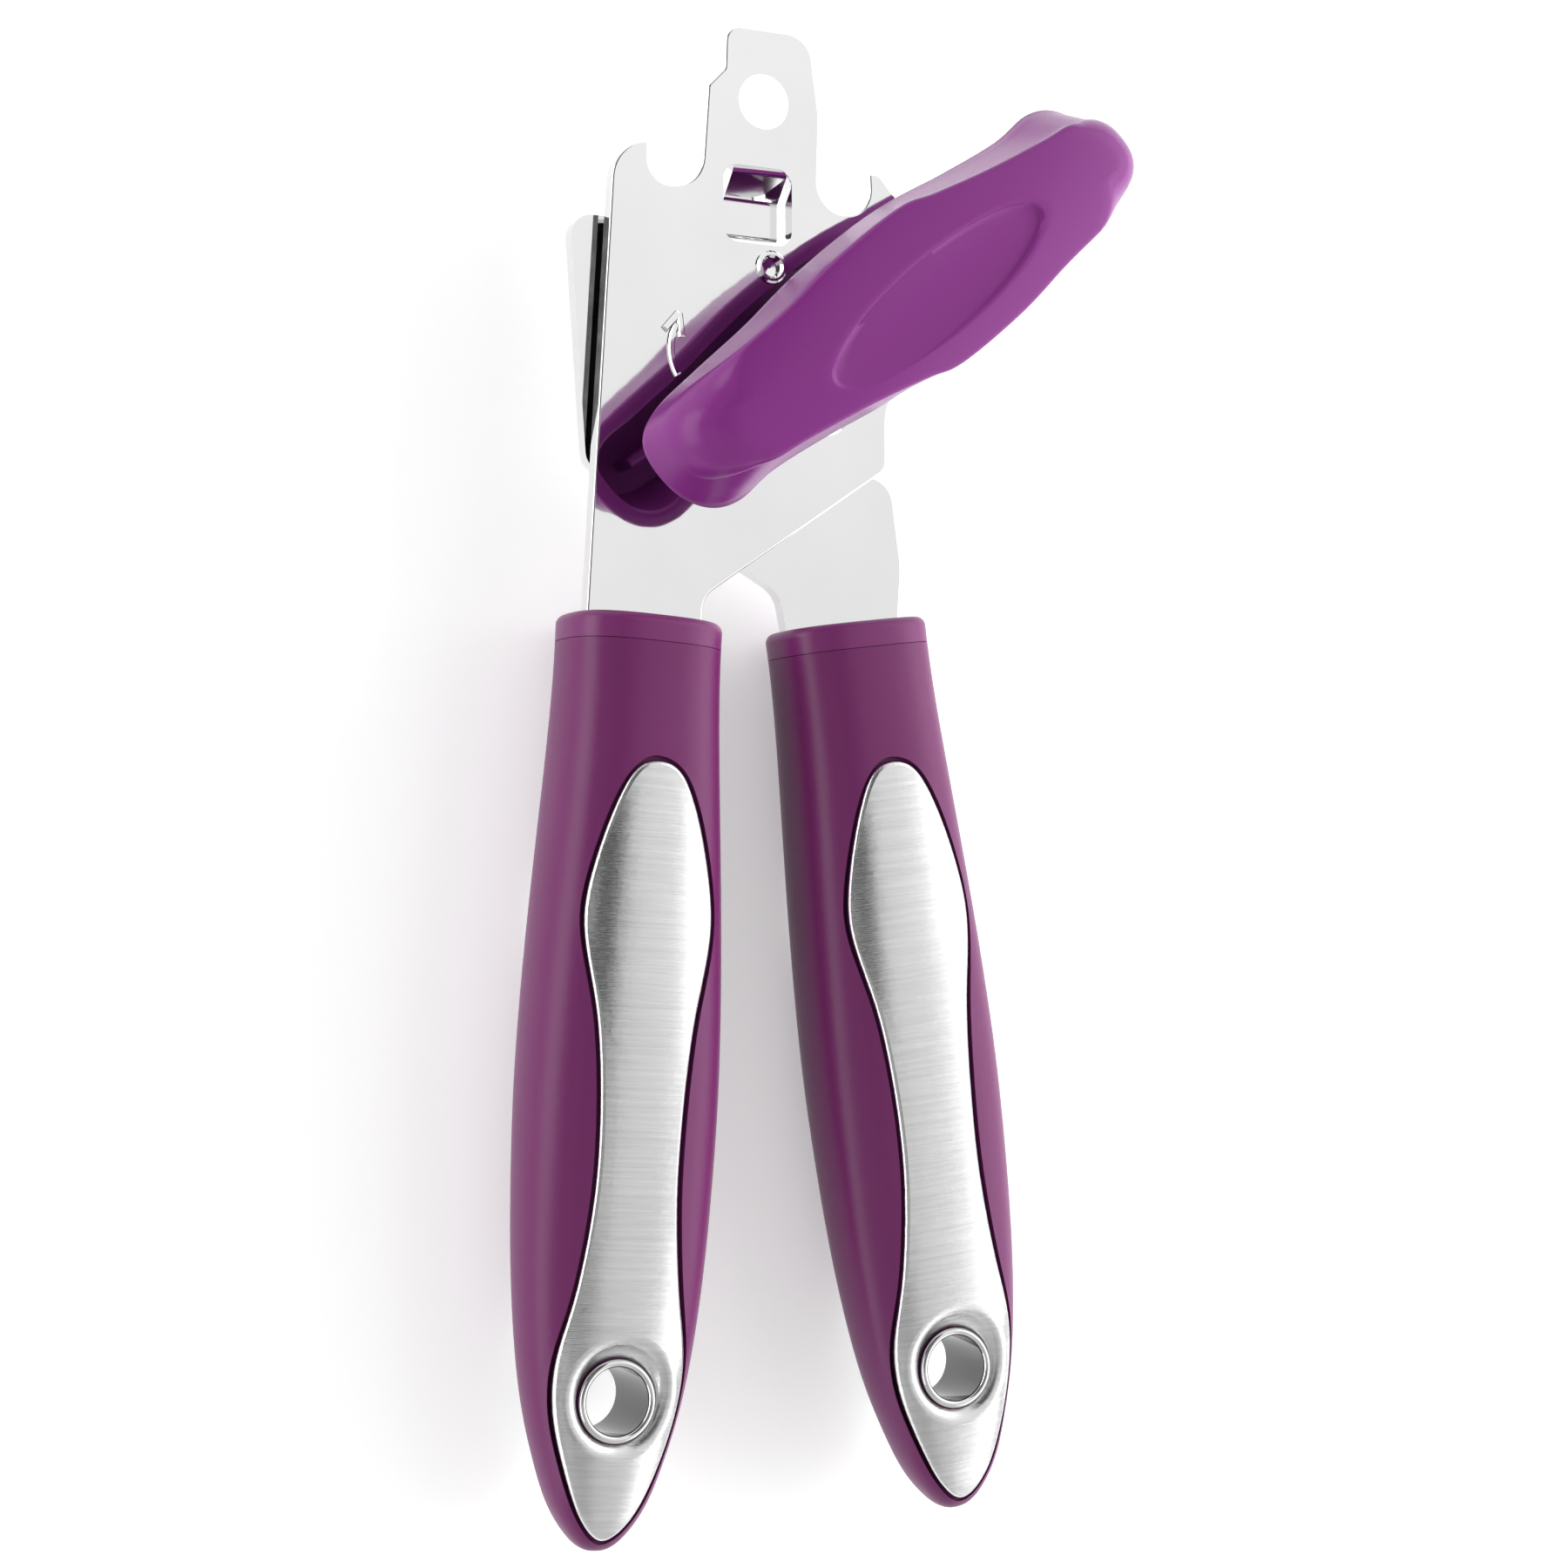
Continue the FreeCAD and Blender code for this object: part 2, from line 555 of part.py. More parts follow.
def inlay_prism(grow, bottom, top):
    points = [V(0, -INLAY_ENDS[0] + grow, bottom)]
    points += [V(half + grow, -place, bottom) for place, half in INLAY_OUTLINE]
    points += [V(0, -INLAY_ENDS[1] - grow, bottom)]
    points += [V(-half - grow, -place, bottom) for place, half in reversed(INLAY_OUTLINE)]
    return Part.Face(smooth_wire(points)).extrude(V(0, 0, top - bottom))


def span(start, end):
    """Box that holds everything between two distances from the collar's top."""
    return Part.makeBox(80, end - start, 60, V(-40, -end, -30))


def handle_parts(plate_z):
    """The pieces of one handle in its own axes; plate_z is where its tang lies."""
    whole = grip_body(GRIP_TIP)
    core = grip_body(CUT_TIP, -INLAY_DEEP)
    skin = grip_body(CUT_TIP, INLAY_PROUD)
    slot = Part.makeBox(TANG_W, TANG_END + 10, PLATE_T,
                        V(-TANG_W / 2, -TANG_END, plate_z - HANDLE_MID_Z))
    eyelet_hole = eyelet_seat()

    collar = whole.common(span(-1, COLLAR_LENGTH))
    collar = collar.makeFillet(COLLAR_ROUND, [e for e in collar.Edges if e.BoundBox.YMin > -0.01])
    collar = collar.cut(slot)

    grip = whole.common(span(COLLAR_LENGTH + COLLAR_GAP, 130)).cut(slot).cut(eyelet_hole)
    core = core.cut(dish(INLAY_DEEP + INLAY_PROUD))
    seats = inlay_prism(GROOVE, 1.5, 20).fuse(inlay_prism(GROOVE, -20, -1.5)).cut(core)
    grip = grip.cut(seats)
    pins = []
    for place in PIN_PLACES:
        pins.append(cylinder((0, -place), PIN_R, -5.6, 5.6))
    pins = Part.makeCompound(pins)
    grip = grip.cut(pins)

    sheet = skin.cut(core).cut(eyelet_hole).cut(dish(0))
    front = round_lip(round_dish(sheet.common(inlay_prism(0, 1.5, 20))))
    back = front.mirror(V(0, 0, 0), V(0, 0, 1))

    return {"collar": collar, "grip": grip, "front_inlay": front, "back_inlay": back,
            "hang_eyelet": hang_eyelet(), "tang_pins": pins}


def dish(lower):
    """Bowls pressed into both faces around the eyelet; lowered ones give the sheets' undersides."""
    rim = EYELET_HALF - DISH_DROP
    lift = math.sqrt(DISH_BALL_R ** 2 - EYELET_SEAT_R ** 2)
    ball = Part.makeSphere(DISH_BALL_R, V(0, -EYELET_AT, rim + lift - lower))
    ball = ball.common(Part.makeBox(80, 80, 40, V(-40, -EYELET_AT - 40, EYELET_FLOOR)))
    return ball.fuse(ball.mirror(V(0, 0, 0), V(0, 0, 1)))


def round_dish(inlay):
    """Round the edge where the dish runs out into the face of a front inlay."""
    edges = []
    for edge in inlay.Edges:
        middle = edge.valueAt((edge.FirstParameter + edge.LastParameter) / 2)
        away = math.hypot(middle.x, middle.y + EYELET_AT)
        above_rim = middle.z > EYELET_HALF + EYELET_RING_R
        if EYELET_SEAT_R + 0.2 < away < DISH_BALL_R and above_rim:
            edges.append(edge)
    return inlay.makeFillet(DISH_ROUND, edges)


def round_lip(inlay):
    """Round the long outer edge of an inlay's upper face."""
    long_edges = [edge for edge in inlay.Edges if edge.Length > INLAY_ENDS[1]]
    return inlay.makeFillet(INLAY_LIP, [max(long_edges, key=lambda edge: edge.BoundBox.ZMax)])


def eyelet_seat():
    """Hole through a handle for the eyelet's tube, wider at both ends for its rolled rims."""
    centre = (0, -EYELET_AT)
    hole = cylinder(centre, EYELET_TUBE_R, -20, 20)
    hole = hole.fuse(cylinder(centre, EYELET_SEAT_R, EYELET_FLOOR, 20))
    return hole.fuse(cylinder(centre, EYELET_SEAT_R, -20, -EYELET_FLOOR))


def hang_eyelet():
    """Rolled steel tube through the handle with a rounded rim at both faces."""
    centre = (0, -EYELET_AT)
    tube = cylinder(centre, EYELET_TUBE_R, -EYELET_HALF, EYELET_HALF)
    for height in (-EYELET_HALF, EYELET_HALF):
        tube = tube.fuse(Part.makeTorus(EYELET_BORE_R + EYELET_RING_R, EYELET_RING_R,
                                        at(*centre, height)))
    return tube.cut(cylinder(centre, EYELET_BORE_R, -20, 20))


# ---- assembly -----------------------------------------------------------------------------------
def all_parts():
    parts = {
        "front_plate": front_plate(),
        "back_plate": back_plate(),
        "pivot_rivet": pivot_rivet(),
        "pivot_washer": pivot_washer(),
        "stop_rivet": stop_rivet(),
        "shaft_bush": shaft_bush(),
        "drive_shaft": drive_shaft(),
        "end_washer": end_washer(),
        "drive_gear": drive_gear(),
        "feed_wheel": feed_wheel(),
        "cutter_gear": cutter_gear(),
        "cutter_wheel": cutter_wheel(),
        "cutter_stud": cutter_stud(),
        "cutter_washer": cutter_washer(),
        "knob": knob(),
    }
    sides = (("left", LEFT_TOP, LEFT_LEAN, FRONT_Z, "front_plate"),
             ("right", RIGHT_TOP, RIGHT_LEAN, BACK_Z, "back_plate"))
    for side, top, lean, plate_z, plate in sides:
        for name, shape in handle_parts(plate_z).items():
            parts[side + "_" + name] = to_handle(shape, top, lean)
        # the plate's neck enters the mouth of the collar
        parts[side + "_collar"] = parts[side + "_collar"].cut(parts[plate])
    return parts


def main():
    os.makedirs("parts", exist_ok=True)
    for name, shape in all_parts().items():
        shape = shape.copy()
        shape.translate(V(-CENTRE_X, -CENTRE_Y, 0))
        shape.exportStep("parts/" + name + ".step")
        print(name, shape.isValid(), len(shape.Solids), round(shape.Volume, 1))


main()
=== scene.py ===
# %% [markdown]
# # A can opener with purple grips, dressed in Blender
#
# The solids of the opener are already made: plates, rivets, gears, knob and two handles, each
# one a separate object. This lesson gives them their looks. We load them, set up a small studio,
# build a few finishes out of shader nodes, and make the knob as a mesh, because its rounding is
# easier there than in a solid. Blender works in metres, so a helper turns millimetres into them.

import json
import math

import bmesh
import bpy
from mathutils import Matrix, Vector


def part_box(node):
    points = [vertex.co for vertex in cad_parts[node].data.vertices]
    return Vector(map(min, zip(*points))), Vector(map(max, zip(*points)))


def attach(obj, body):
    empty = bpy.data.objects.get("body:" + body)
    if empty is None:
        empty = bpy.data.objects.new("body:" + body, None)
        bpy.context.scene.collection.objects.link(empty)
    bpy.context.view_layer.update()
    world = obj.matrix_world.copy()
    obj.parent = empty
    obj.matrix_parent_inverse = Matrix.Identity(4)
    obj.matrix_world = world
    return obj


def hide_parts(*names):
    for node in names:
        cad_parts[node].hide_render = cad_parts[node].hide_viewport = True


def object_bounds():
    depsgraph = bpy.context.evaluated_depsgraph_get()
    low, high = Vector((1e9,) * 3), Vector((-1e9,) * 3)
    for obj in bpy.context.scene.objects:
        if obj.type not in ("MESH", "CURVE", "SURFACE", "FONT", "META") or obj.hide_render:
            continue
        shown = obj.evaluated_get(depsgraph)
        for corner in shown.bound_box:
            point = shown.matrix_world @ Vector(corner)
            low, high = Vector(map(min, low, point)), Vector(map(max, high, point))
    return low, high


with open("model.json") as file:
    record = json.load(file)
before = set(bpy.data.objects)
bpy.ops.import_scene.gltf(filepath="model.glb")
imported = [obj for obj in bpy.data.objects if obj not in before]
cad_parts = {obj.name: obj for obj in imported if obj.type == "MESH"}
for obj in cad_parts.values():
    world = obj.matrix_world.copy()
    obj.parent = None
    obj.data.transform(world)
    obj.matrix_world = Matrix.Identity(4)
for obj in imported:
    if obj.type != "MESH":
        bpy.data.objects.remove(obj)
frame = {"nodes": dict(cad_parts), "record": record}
solid_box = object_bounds()
MM = 0.001


def mm(x, y, z):
    """A point given in millimetres."""
    return Vector((x, y, z)) * MM


print("nodes:", len(frame["nodes"]))
print("overall size in mm:", [round(v / MM, 1) for v in solid_box[1] - solid_box[0]])

# %% [markdown]
# ## The floor
#
# The opener lies on a plain white sheet of paper. Product photographers often sweep the sheet up
# behind the subject, to hide its far edge. This opener is seen from above and lies flat, so one
# big flat face is enough, and what lies beyond its edge is the white of the studio itself.


# %% The paper
def grid_object(name, rows):
    """A smooth mesh from rows of points, all rows equally long, joined by quads."""
    across = len(rows[0])
    points = [point for row in rows for point in row]
    faces = []
    for r in range(len(rows) - 1):
        for c in range(across - 1):
            i = r * across + c
            faces.append((i, i + 1, i + across + 1, i + across))
    mesh = bpy.data.meshes.new(name)
    mesh.from_pydata(points, [], faces)
    mesh.shade_smooth()
    thing = bpy.data.objects.new(name, mesh)
    bpy.context.scene.collection.objects.link(thing)
    return thing


PAPER_HALF = 0.9          # metres from the middle of the sheet to each edge
PAPER_DROP = 0.0001       # the sheet lies this far under the opener

paper = grid_object("paper", [
    [(x, y, -PAPER_DROP) for x in (-PAPER_HALF, PAPER_HALF)] for y in (-PAPER_HALF, PAPER_HALF)])
print("paper:", len(paper.data.polygons), "face")

# %% [markdown]
# ## Node helpers
#
# A material is a small network of nodes. Three helpers keep the networks short: one adds a node
# with its settings, one starts a material with its Principled shader, and one starts a node group
# with named inputs and outputs. A group is an effect that several materials share, such as wear.


# %% Helpers for materials and groups
def add(tree, kind, settings=None, **inputs):
    """Add a node; each input is a number, a colour, or the output socket that feeds it."""
    node = tree.nodes.new("ShaderNode" + kind)
    for key, value in (settings or {}).items():
        setattr(node, key, value)
    for key, value in inputs.items():
        socket = node.inputs[int(key[1:])] if key[0] == "_" else node.inputs[key.replace("_", " ")]
        if isinstance(value, bpy.types.NodeSocket):
            tree.links.new(value, socket)
        else:
            socket.default_value = value
    return node


def new_group(name, inputs, outputs):
    """A node group with float inputs (name: default) and outputs, and its two end nodes."""
    tree = bpy.data.node_groups.new(name, "ShaderNodeTree")
    for label, default in inputs.items():
        socket = tree.interface.new_socket(label, in_out="INPUT", socket_type="NodeSocketFloat")
        socket.default_value = default
    for label in outputs:
        tree.interface.new_socket(label, in_out="OUTPUT", socket_type="NodeSocketFloat")
    start = tree.nodes.new("NodeGroupInput")
    end = tree.nodes.new("NodeGroupOutput")
    return tree, start, end


def use_group(tree, group, **inputs):
    node = tree.nodes.new("ShaderNodeGroup")
    node.node_tree = group
    for key, value in inputs.items():
        node.inputs[key.replace("_", " ")].default_value = value
    return node


def new_material(name, **shader_values):
    """A material with a Principled shader whose own sockets hold the constants."""
    material = bpy.data.materials.new(name)
    material.use_nodes = True
    tree = material.node_tree
    shader = tree.nodes["Principled BSDF"]
    for key, value in shader_values.items():
        shader.inputs[key.replace("_", " ")].default_value = value
    return material, tree, shader


def mix_colours(tree, amount, first, second):
    """Blend two colours by a mask."""
    node = tree.nodes.new("ShaderNodeMix")
    node.data_type = "RGBA"
    node.inputs["A"].default_value = (*first, 1)
    node.inputs["B"].default_value = (*second, 1)
    tree.links.new(amount, node.inputs["Factor"])
    return node.outputs["Result"]


def spread(tree, value, low, high):
    """Turn a 0 to 1 mask into a range of values."""
    return add(tree, "MapRange", None, Value=value, To_Min=low, To_Max=high).outputs["Result"]


print("helpers ready")

# %% [markdown]
# ## Lamps
#
# Polished steel shows nothing but what stands around it, so its looks are made by the lamps. A
# product photographer uses large soft boxes for broad white reflections. Blender's area lamps
# are soft boxes: the larger they are, the softer the shadows. A lamp can also be hidden from
# reflections, which no real lamp can be. That lets two lamps, the keys, model the matt plastic
# from both sides, while the steel shows only the tent and the two boxes that suit it.


# %% Soft boxes
MIDDLE = (solid_box[0] + solid_box[1]) / 2


def around(angle_deg, away, along=0.0):
    """A point over the opener: the angle leans from straight up towards +X, in metres."""
    angle = math.radians(angle_deg)
    return MIDDLE + Vector((math.sin(angle) * away, along, math.cos(angle) * away))


def soft_box(name, place, wide, tall, brightness, in_steel=True):
    """An area lamp that faces the opener; brightness 1 looks like white paper."""
    lamp = bpy.data.lights.new(name, "AREA")
    lamp.shape = "RECTANGLE"
    lamp.size = wide
    lamp.size_y = tall
    lamp.energy = brightness * math.pi * wide * tall
    thing = bpy.data.objects.new(name, lamp)
    thing.location = place
    facing = (MIDDLE - place).normalized()
    side = Vector((0, 1, 0)).cross(-facing).normalized()
    up = (-facing).cross(side)
    thing.rotation_euler = Matrix((side, up, -facing)).transposed().to_euler()
    thing.visible_glossy = in_steel
    bpy.context.scene.collection.objects.link(thing)
    return thing


soft_box("right_box", around(58, 1.2), wide=0.8, tall=2.6, brightness=0.98)
soft_box("right_key", around(78, 1.2, 0.1), wide=0.7, tall=1.2, brightness=9.2, in_steel=False)
soft_box("left_box", around(-76, 1.1), wide=0.62, tall=2.0, brightness=1.7)
soft_box("left_key", around(-77, 1.1, 0.3), wide=0.5, tall=1.2, brightness=2.0, in_steel=False)

# %% [markdown]
# ## The dark flag and the tent
#
# A mirror that shows only white looks like paper. Photographers hang a dark sheet, called a flag,
# on the camera's side, and its edge draws the dark facet that gives a curved face its form. The
# flag is bent round the opener like a piece of tunnel, and is hidden from everything but
# reflections, so that it takes no light from the plastic. A slit between its two sheets puts a
# bright line into the cut edges of the plates, which would be a plain black band without it.


# %% Dark flag
FLAG_ARCS = {"flag_left": (-60, -30), "flag_over": (-25, 9)}  # degrees from straight up to +X
FLAG_AWAY = 1.0
FLAG_HALF = 1.6           # metres along the opener, each way
FLAG_STEPS = 8            # flat strips that make the bend


def dark_flag(name, start, end):
    angles = [start + (end - start) * i / FLAG_STEPS for i in range(FLAG_STEPS + 1)]
    flag = grid_object(name, [
        [around(angle, FLAG_AWAY, along) for angle in angles] for along in (-FLAG_HALF, FLAG_HALF)])
    for kind in ("camera", "diffuse", "shadow", "transmission", "volume_scatter"):
        setattr(flag, "visible_" + kind, False)
    return flag


flags = [dark_flag(name, *arc) for name, arc in FLAG_ARCS.items()]
print("flags:", [flag.name for flag in flags])

# %% [markdown]
# Everything else is the world, a white tent. The camera sees it white. In reflections it fades a
# little towards the handles' end, so that flat steel has a gentle gradient, and it lights matt
# surfaces less than a full tent would, so that the lamps still shape them. The Light Path node
# tells these rays apart.


# %% White tent
TENT_MATT = 0.46          # how strongly the tent lights matt surfaces
TENT_FRONT = 0.67         # brightness in reflections at the handles' end, where 1 is white
TENT_BACK = 1.0
TENT_FADE = (-0.4, 0.3)   # the fade runs between these directions, from -1 to 1 along Y


def white_tent():
    world = bpy.data.worlds.new("white_tent")
    bpy.context.scene.world = world
    world.use_nodes = True
    tree = world.node_tree
    tree.nodes.clear()
    paths = add(tree, "LightPath")
    place = add(tree, "TexCoord")
    parts = add(tree, "SeparateXYZ", None, Vector=place.outputs["Generated"])
    fade = add(tree, "MapRange", None, Value=parts.outputs["Y"], From_Min=TENT_FADE[0],
               From_Max=TENT_FADE[1], To_Min=TENT_FRONT, To_Max=TENT_BACK)
    matt_or_steel = add(tree, "MapRange", None, Value=paths.outputs["Is Glossy Ray"],
                        To_Min=TENT_MATT, To_Max=fade.outputs["Result"])
    clear = add(tree, "Math", {"operation": "MAXIMUM"}, _0=paths.outputs["Is Camera Ray"],
                _1=paths.outputs["Is Transmission Ray"])
    level = add(tree, "Math", {"operation": "MAXIMUM"}, _0=matt_or_steel.outputs["Result"],
                _1=clear.outputs[0])
    light = add(tree, "Background", None, Color=(1, 1, 1, 1), Strength=level.outputs[0])
    out = add(tree, "OutputWorld")
    tree.links.new(light.outputs[0], out.inputs["Surface"])


white_tent()
print("world ready")

# %% [markdown]
# ## The camera
#
# The opener is seen from above, 27 degrees round to its left, from not quite half a metre away.
# We place the camera on a sphere around a point on the front plate, then build its rotation from
# three directions, so that the handles stay upright in the picture.

# %% Camera
AIM = mm(-4.4, -1.3, 12.0)
CAMERA_AWAY = 0.440
SIDE_TURN = math.radians(27.0)
DOWN_TURN = math.radians(3.75)
VIEW_WIDTH = math.radians(27.0)


def make_camera():
    back = Vector((-math.sin(SIDE_TURN) * math.cos(DOWN_TURN), -math.sin(DOWN_TURN),
                   math.cos(SIDE_TURN) * math.cos(DOWN_TURN)))
    right = Vector((0, 1, 0)).cross(back).normalized()
    up = back.cross(right)
    data = bpy.data.cameras.new("camera")
    data.angle = VIEW_WIDTH
    data.clip_start = 0.01
    camera = bpy.data.objects.new("camera", data)
    turn = Matrix((right, up, back)).transposed()
    camera.matrix_world = Matrix.Translation(AIM + back * CAMERA_AWAY) @ turn.to_4x4()
    bpy.context.scene.collection.objects.link(camera)
    bpy.context.scene.camera = camera
    return camera


camera = make_camera()
bpy.context.scene.view_settings.view_transform = "Standard"
print("camera at", [round(v, 3) for v in camera.location])

# %% [markdown]
# ## Effect: handling haze
#
# Nothing that has been picked up is evenly clean. A broad, soft noise makes patches where the
# surface is a touch duller. Its output is a mask from 0 to 1, and each material decides how much
# roughness or tone it takes from it.


# %% Haze group
def haze_group():
    tree, start, end = new_group("handling_haze", {"Scale": 40.0, "Contrast": 1.0}, ["Haze"])
    place = add(tree, "TexCoord")
    noise = add(tree, "TexNoise", None, Vector=place.outputs["Object"],
                Scale=start.outputs["Scale"], Detail=3.0, Roughness=0.55)
    centred = add(tree, "Math", {"operation": "SUBTRACT"}, _0=noise.outputs["Fac"], _1=0.5)
    spread_out = add(tree, "Math", {"operation": "MULTIPLY_ADD", "use_clamp": True},
                     _0=centred.outputs[0], _1=start.outputs["Contrast"], _2=0.5)
    tree.links.new(spread_out.outputs[0], end.inputs["Haze"])
    return tree


HAZE = haze_group()
print("group:", HAZE.name)

# %% [markdown]
# ## Effect: brush lines
#
# Brushed steel is scratched by an abrasive belt, all lines the same way. Noise stretched many
# times along one axis gives such lines. Two of them are mixed: fine ones close together, and a
# few longer ones. The lines run across each handle, so the group has an angle as its input.


# %% Brush group
WIDE_SCALE = 0.22         # scale of the longer lines, as a share of the fine ones'


def brush_group():
    tree, start, end = new_group(
        "brush_lines", {"Angle": 0.0, "Spacing": 9000.0, "Stretch": 0.03}, ["Lines", "Streaks"])
    place = add(tree, "TexCoord")
    turned = add(tree, "VectorRotate", {"rotation_type": "Z_AXIS"},
                 Vector=place.outputs["Object"], Angle=start.outputs["Angle"])
    shape = add(tree, "CombineXYZ", None, X=start.outputs["Stretch"], Y=1.0, Z=0.25)
    squeezed = add(tree, "VectorMath", {"operation": "MULTIPLY"},
                   _0=turned.outputs[0], _1=shape.outputs[0])
    fine = add(tree, "TexNoise", None, Vector=squeezed.outputs[0],
               Scale=start.outputs["Spacing"], Detail=2.0, Roughness=0.6)
    wide_scale = add(tree, "Math", {"operation": "MULTIPLY"}, _0=start.outputs["Spacing"],
                     _1=WIDE_SCALE)
    wide = add(tree, "TexNoise", None, Vector=squeezed.outputs[0],
               Scale=wide_scale.outputs[0], Detail=2.0, Roughness=0.5)
    tree.links.new(fine.outputs["Fac"], end.inputs["Lines"])
    tree.links.new(wide.outputs["Fac"], end.inputs["Streaks"])
    return tree


BRUSH = brush_group()
print("group:", BRUSH.name)

# %% [markdown]
# ## Effect: fine grain
#
# A moulding keeps the skin of its steel mould, which is never quite smooth, and plated steel has
# a grain of its own. A small noise used as a height does for both, at different sizes.


# %% Grain group
def grain_group():
    tree, start, end = new_group("fine_grain", {"Scale": 3000.0}, ["Height"])
    place = add(tree, "TexCoord")
    noise = add(tree, "TexNoise", None, Vector=place.outputs["Object"],
                Scale=start.outputs["Scale"], Detail=3.0, Roughness=0.5)
    tree.links.new(noise.outputs["Fac"], end.inputs["Height"])
    return tree


GRAIN = grain_group()
print("group:", GRAIN.name)

# %% [markdown]
# ## Mirror steel
#
# The plates, rivets and eyelets are polished stainless steel. Metal has no colour under its
# surface, so Metallic is 1 and the base colour tints the reflection. A nearly perfect mirror
# looks false, so the haze raises the roughness a little here and there, and a very low bump
# bends the reflections as rolled sheet does.


# %% Mirror steel
HAZY_MIRROR = 0.94        # tone of a hazy patch, as a share of the clear steel's


def mirror_steel(name, tone, smooth, hazy):
    material, tree, shader = new_material(name, Metallic=1.0)
    haze = use_group(tree, HAZE, Scale=55.0, Contrast=1.8)
    colour = mix_colours(tree, haze.outputs["Haze"], [tone] * 3, [tone * HAZY_MIRROR] * 3)
    tree.links.new(colour, shader.inputs["Base Color"])
    tree.links.new(spread(tree, haze.outputs["Haze"], smooth, hazy), shader.inputs["Roughness"])
    wave = use_group(tree, GRAIN, Scale=120.0)
    bump = add(tree, "Bump", None, Height=wave.outputs["Height"], Strength=1.0,
               Distance=0.00002)
    tree.links.new(bump.outputs[0], shader.inputs["Normal"])
    return material


def paint_bore_shade(material, dark):
    """Darken the upright walls of a tube with painted shade, so that the bore looks as if it lay in
    shadow.
    """
    tree = material.node_tree
    shader = tree.nodes["Principled BSDF"]
    lit_colour = shader.inputs["Base Color"].links[0].from_socket
    place = add(tree, "TexCoord")
    parts = add(tree, "SeparateXYZ", None, Vector=place.outputs["Normal"])
    upright = add(tree, "Math", {"operation": "ABSOLUTE"}, _0=parts.outputs["Z"])
    share = add(tree, "MapRange", None, Value=upright.outputs[0], From_Min=0.05, From_Max=0.25)
    mixed = tree.nodes.new("ShaderNodeMix")
    mixed.data_type = "RGBA"
    mixed.inputs["A"].default_value = (dark, dark, dark, 1)
    tree.links.new(lit_colour, mixed.inputs["B"])
    tree.links.new(share.outputs["Result"], mixed.inputs["Factor"])
    tree.links.new(mixed.outputs["Result"], shader.inputs["Base Color"])
    return material


PLATE_STEEL = mirror_steel("plate_steel", 0.88, 0.03, 0.08)
# The eyelets' upright walls get painted shade: a dark tone of 0.16 in their base colour.
EYELET_STEEL = paint_bore_shade(mirror_steel("eyelet_steel", 0.80, 0.08, 0.16), 0.16)
print("materials:", PLATE_STEEL.name, EYELET_STEEL.name)

# %% [markdown]
# ## Brushed steel
#
# The inlays are brushed across the handle. The lines are real scratches, so they go into the
# bump, and a little into the tone. Each handle leans its own way, so each gets its own material
# with its own angle, the lean of that handle in the plan.

# %% Brushed steel
LEANS = {"left": math.radians(2.9), "right": math.radians(-8.0)}


def brushed_steel(name, lean):
    material, tree, shader = new_material(name, Metallic=1.0)
    brush = use_group(tree, BRUSH, Angle=lean)
    haze = use_group(tree, HAZE, Scale=60.0, Contrast=1.2)
    colour = mix_colours(tree, brush.outputs["Streaks"], (0.63, 0.63, 0.63), (0.83, 0.83, 0.83))
    tree.links.new(colour, shader.inputs["Base Color"])
    tree.links.new(spread(tree, haze.outputs["Haze"], 0.18, 0.25), shader.inputs["Roughness"])
    bump = add(tree, "Bump", None, Height=brush.outputs["Lines"], Strength=0.4,
               Distance=0.00008)
    tree.links.new(bump.outputs[0], shader.inputs["Normal"])
    return material


BRUSHED = {side: brushed_steel(side + "_brushed_steel", lean) for side, lean in LEANS.items()}
print("materials:", [m.name for m in BRUSHED.values()])

# %% [markdown]
# ## Plated and hardened steel
#
# Shaft, bush and washers are plain plated steel; gears, feed wheel and cutter are hardened,
# which leaves them darker. Both are satin, with a fine grain and haze.


# %% Satin steels
HAZY_SATIN = 0.8          # tone of a hazy patch, as a share of the clear steel's
HAZY_ROUGHER = 0.12       # and how much rougher it is


def satin_steel(name, tone, rough):
    material, tree, shader = new_material(name, Metallic=1.0)
    haze = use_group(tree, HAZE, Scale=140.0, Contrast=2.0)
    dull = [channel * HAZY_SATIN for channel in tone]
    tree.links.new(mix_colours(tree, haze.outputs["Haze"], tone, dull),
                   shader.inputs["Base Color"])
    tree.links.new(spread(tree, haze.outputs["Haze"], rough, rough + HAZY_ROUGHER),
                   shader.inputs["Roughness"])
    grain = use_group(tree, GRAIN, Scale=2500.0)
    bump = add(tree, "Bump", None, Height=grain.outputs["Height"], Strength=0.25,
               Distance=0.00005)
    tree.links.new(bump.outputs[0], shader.inputs["Normal"])
    return material


PLAIN_STEEL = satin_steel("plated_steel", (0.62, 0.62, 0.63), 0.22)
HARD_STEEL = satin_steel("hardened_steel", (0.45, 0.45, 0.47), 0.28)
print("materials:", PLAIN_STEEL.name, HARD_STEEL.name)

# %% [markdown]
# ## Purple plastic
#
# Grips and knob are moulded plastic with a satin shine: a deep purple under a clear, slightly
# rough skin. The grips are a warmer purple than the knob, and the collars a little lighter than
# the grips. Haze varies the shine, and the grain breaks up the reflections at a scale that is
# only just seen.


# %% Purple plastic
SHINIER, DULLER = 0.02, 0.03    # how far haze moves the roughness each way


